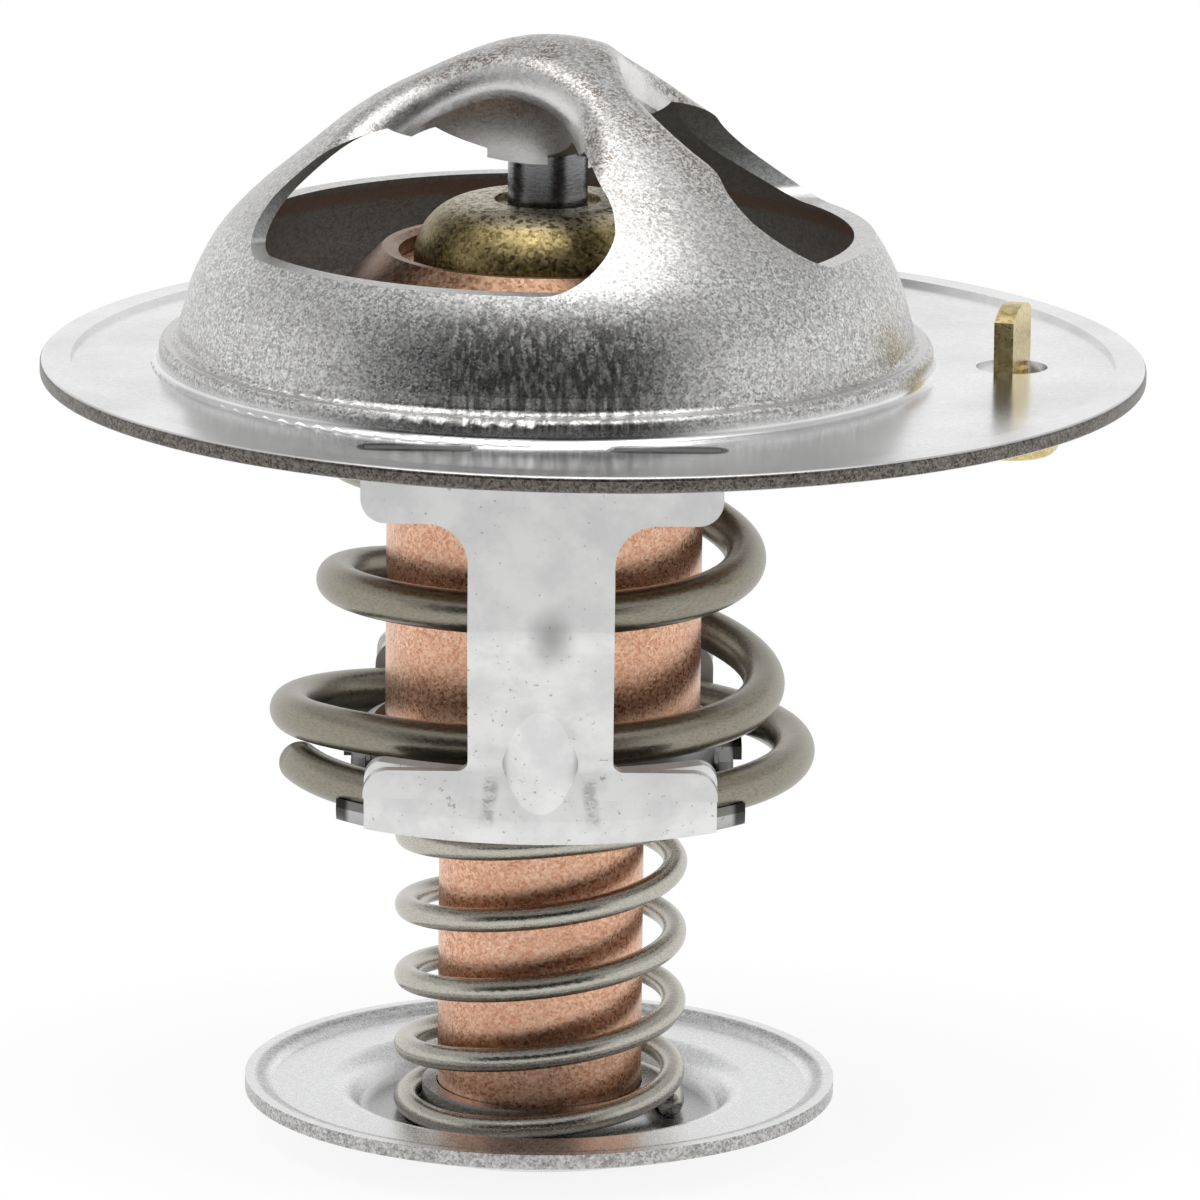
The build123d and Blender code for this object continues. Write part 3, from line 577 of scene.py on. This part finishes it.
def run_on(coil, start_deg, angle):
    """Carries the coil's first end further round the axis."""
    start = Vector((cos(radians(start_deg)), sin(radians(start_deg)), 0.0))
    ahead = Vector((-start.y, start.x, 0.0))
    for face in coil.data.polygons:
        centre = Vector(face.center)
        near = abs(ahead.dot(centre)) < END_FACE_THICK and start.dot(centre) > END_FACE_IN
        flat = abs(ahead.dot(face.normal)) > 0.9
        face.select = near and flat and centre.z < END_FACE_LOW
    print("end faces:", sum(face.select for face in coil.data.polygons))
    bpy.ops.object.mode_set(mode="EDIT")
    bpy.ops.mesh.spin(steps=10, angle=angle, center=(0, 0, 0), axis=(0, 0, 1))
    bpy.ops.mesh.select_all(action="SELECT")
    bpy.ops.mesh.remove_doubles(threshold=1e-6)
    bpy.ops.mesh.normals_make_consistent(inside=False)
    bpy.ops.object.mode_set(mode="OBJECT")
    low = [v.co for v in coil.data.vertices if v.co.z < COIL_FOOT_LOW]
    turns = [degrees(atan2(c.y, c.x)) % 360 for c in low if c.x < -5.0 * MM and c.y < 0]
    print("foot coil starts at", round(min(turns), 1), "degrees")


print("the foot coil will run on", RUN_ON_DEG, "degrees")

# %% Two live springs
SPRINGS = {
    # node: body that carries it, joint that closes it, height of its fixed end, share left
    "main_spring": ("housing_side", "valve_lift", -0.01990, 0.622),
    "bypass_spring": ("valve", "bypass_slide", -0.02135, 0.68),
}

for name, (body, joint, fixed_z, keep) in SPRINGS.items():
    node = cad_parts[name]
    live = node.copy()
    live.data = node.data.copy()
    live.name = name.replace("spring", "coil")
    bpy.context.scene.collection.objects.link(live)
    bpy.ops.object.select_all(action="DESELECT")
    bpy.context.view_layer.objects.active = live
    live.select_set(True)
    bpy.ops.object.mode_set(mode="EDIT")
    bpy.ops.mesh.select_all(action="SELECT")
    bpy.ops.mesh.remove_doubles(threshold=1e-6)
    bpy.ops.mesh.select_mode(type="FACE")
    bpy.ops.mesh.select_all(action="DESELECT")
    bpy.ops.object.mode_set(mode="OBJECT")
    if name == "main_spring":
        run_on(live, START_DEG, radians(RUN_ON_DEG))
    bpy.ops.object.shade_smooth_by_angle(angle=radians(40))
    live.data.materials.clear()
    live.data.materials.append(FINISHES[name])
    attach(live, body)
    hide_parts(name)
    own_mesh(live)
    print(live.name, "faces:", len(live.data.polygons))

# %% [markdown]
# ## Dressing the solids
#
# The CAD nodes keep their own meshes and places. Only their material slot is
# filled, with the finish of the same name.

# %% Every node gets its finish
for name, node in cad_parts.items():
    node.data.materials.clear()
    node.data.materials.append(FINISHES[name])
print("finished nodes:", len(FINISHES))

# %% [markdown]
# ## A white table
#
# The valve stands on its bypass disc. Close to it the table is a real surface
# that takes the shadow; further out it turns to plain white for the camera,
# for mirrors and for glass, so that no horizon shows in any of them. When the
# valve opens its foot moves down, and the table goes down with it. From below
# the table is clear, so that the underside can be looked at too.

# %% Table
FLOOR_Z = cad_box[0][2]
bpy.ops.mesh.primitive_plane_add(size=4.0, location=(0, 0, FLOOR_Z))
table = bpy.context.active_object
table.name = "table"
paper = Finish("table_white", metallic=0.0, roughness=0.9)
paper.give("Base Color", (0.88, 0.88, 0.88, 1.0))
paper.give("Specular IOR Level", 0.0)
from_axis = paper.axes()[3]
glow = paper.node("ShaderNodeEmission", None, {"Color": (1, 1, 1, 1), "Strength": 1.0})
path = paper.node("ShaderNodeLightPath", out="Is Camera Ray").socket.node
seen = sum(
    (Wire(paper, path.outputs[ray]) for ray in ("Is Glossy Ray", "Is Transmission Ray")),
    start=Wire(paper, path.outputs["Is Camera Ray"]),
)
plain_white = TABLE_WHITE + (1.0 - TABLE_WHITE) * from_axis.step(24.0, 60.0)
shown = paper.node("ShaderNodeMixShader", None, {0: plain_white * seen.step(0.0, 1.0)})
paper.tree.links.new(paper.shader.outputs[0], shown.socket.node.inputs[1])
paper.tree.links.new(glow.socket, shown.socket.node.inputs[2])
clear = paper.node("ShaderNodeBsdfTransparent")
under = paper.node("ShaderNodeNewGeometry", out="Backfacing")
surface = paper.node("ShaderNodeMixShader", None, {0: under, 1: shown, 2: clear})
paper.tree.links.new(surface.socket, paper.out.inputs["Surface"])
table.data.materials.append(paper.material)
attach(table, "valve")
print("table at z =", round(FLOOR_Z / MM, 2), "mm")

# %% [markdown]
# ## White room
#
# The camera, mirrors and glass see plain white. What lights the matt pieces is
# a little less, so that pale zinc keeps its tone.

# %% World
world = bpy.data.worlds.new("studio")
bpy.context.scene.world = world
world.use_nodes = True
room = world.node_tree
room.nodes.clear()
sky = room.nodes.new("ShaderNodeBackground")
white = room.nodes.new("ShaderNodeBackground")
rays = room.nodes.new("ShaderNodeLightPath")
mirror = room.nodes.new("ShaderNodeMath")
glass = room.nodes.new("ShaderNodeMath")
blend = room.nodes.new("ShaderNodeMixShader")
ends = room.nodes.new("ShaderNodeOutputWorld")
for adder in (mirror, glass):
    adder.operation = "MAXIMUM"
sky.inputs["Color"].default_value = (1.0, 1.0, 1.0, 1.0)
sky.inputs["Strength"].default_value = SKY
white.inputs["Color"].default_value = (1.0, 1.0, 1.0, 1.0)
white.inputs["Strength"].default_value = 1.0
room.links.new(rays.outputs["Is Camera Ray"], mirror.inputs[0])
room.links.new(rays.outputs["Is Glossy Ray"], mirror.inputs[1])
room.links.new(mirror.outputs[0], glass.inputs[0])
room.links.new(rays.outputs["Is Transmission Ray"], glass.inputs[1])
room.links.new(glass.outputs[0], blend.inputs[0])
room.links.new(sky.outputs[0], blend.inputs[1])
room.links.new(white.outputs[0], blend.inputs[2])
room.links.new(blend.outputs[0], ends.inputs["Surface"])
print("world:", world.name)

# %% [markdown]
# ## Softboxes and a cloth screen
#
# Metal shows its surroundings. A room that is white all round would leave the
# steel flat, so a cloth screen stands round the valve: dark behind the camera,
# grey above and white at the sides. The front of each curved surface gets its
# grey from that. Only reflections see the screen: it takes no light from the
# matt pieces.

# %% Softboxes
CENTRE = Vector((0.0, 0.0, -0.010))


def facing_centre(azimuth, elevation, distance):
    """A place round the valve, turned so that its -Z looks at the centre."""
    a, e = radians(azimuth), radians(elevation)
    place = CENTRE + distance * Vector((sin(a) * cos(e), -cos(a) * cos(e), sin(e)))
    turn = (CENTRE - place).to_track_quat("-Z", "Y").to_matrix().to_4x4()
    return Matrix.Translation(place) @ turn


def softbox(name, azimuth, elevation, distance, width, height, watts):
    """A rectangular area lamp that faces the valve."""
    lamp = bpy.data.lights.new(name, "AREA")
    lamp.shape = "RECTANGLE"
    lamp.size = width
    lamp.size_y = height
    lamp.energy = watts
    holder = bpy.data.objects.new(name, lamp)
    bpy.context.scene.collection.objects.link(holder)
    holder.matrix_world = facing_centre(azimuth, elevation, distance)
    return holder


softbox("softbox_top", 0, 80, 0.45, 0.40, 0.30, TOP_W)
side_lamps = [
    softbox("softbox_left", -70, 22, 0.45, 0.22, 0.36, LEFT_W),
    softbox("softbox_right", 72, 30, 0.45, 0.16, 0.34, RIGHT_W),
]
for lamp in side_lamps:
    lamp.visible_glossy = False
print("softboxes:", 1 + len(side_lamps))

# %% Cloth screen
SCREEN_R, SCREEN_H, SCREEN_Z = 0.6, 1.4, 0.25
bpy.ops.object.select_all(action="DESELECT")
bpy.ops.mesh.primitive_cylinder_add(
    vertices=96,
    radius=SCREEN_R,
    depth=SCREEN_H,
    end_fill_type="NOTHING",
    location=(0, 0, SCREEN_Z),
)
screen = bpy.context.active_object
screen.name = "grey_screen"
bpy.ops.object.transform_apply(location=True)
cloth = Finish("screen_cloth", metallic=0.0, roughness=1.0)
sx, sy, sz = cloth.axes()[:3]
bearing = cloth.node("ShaderNodeMath", {"operation": "ARCTAN2"}, {0: sx, 1: 0.0 - sy})
left_edge = bearing.step(radians(-78), radians(-46))
right_edge = 1.0 - bearing.step(radians(30), radians(62))
low_part = 1.0 - sz.step(380.0, 680.0)
front = left_edge * right_edge * low_part
high = sz.step(150.0, 300.0)
level = 1.0 - high * (1.0 - GREY)
level = level * (1.0 - front) + front * DARK
lit = cloth.node("ShaderNodeEmission", None, {"Color": (1, 1, 1, 1), "Strength": 1.0})
unlit = cloth.node("ShaderNodeEmission", None, {"Color": (1, 1, 1, 1), "Strength": 0.0})
cover = cloth.node("ShaderNodeMixShader", None, {0: level, 1: unlit, 2: lit})
cloth.tree.links.new(cover.socket, cloth.out.inputs["Surface"])
screen.data.materials.append(cloth.material)
screen.visible_camera = False
screen.visible_diffuse = False
screen.visible_shadow = False
print("screen:", SCREEN_R, "m away")

# %% [markdown]
# ## Camera
#
# A long lens half a metre away, a little above the flange, and rolled by half
# a degree.

# %% Camera
TARGET = Vector((2.763, 0.0, -11.382)) * MM
DISTANCE = 0.500
ELEVATION = 0.232
ROLL = 0.011
LENS_MM = 305.46

right = Vector((1.0, 0.0, 0.0))
up = Vector((0.0, sin(ELEVATION), cos(ELEVATION)))
back = Vector((0.0, -cos(ELEVATION), sin(ELEVATION)))
across = cos(ROLL) * right + sin(ROLL) * up
above = -sin(ROLL) * right + cos(ROLL) * up
lens = bpy.data.cameras.new("portrait")
lens.lens = LENS_MM
lens.sensor_width = 36.0
lens.clip_start = 0.01
camera = bpy.data.objects.new("portrait", lens)
bpy.context.scene.collection.objects.link(camera)
turn = Matrix((across, above, back)).transposed().to_4x4()
camera.matrix_world = Matrix.Translation(TARGET + DISTANCE * back) @ turn
bpy.context.scene.camera = camera
bpy.context.scene.view_settings.view_transform = "Standard"
print("camera at", [round(c, 4) for c in camera.location])
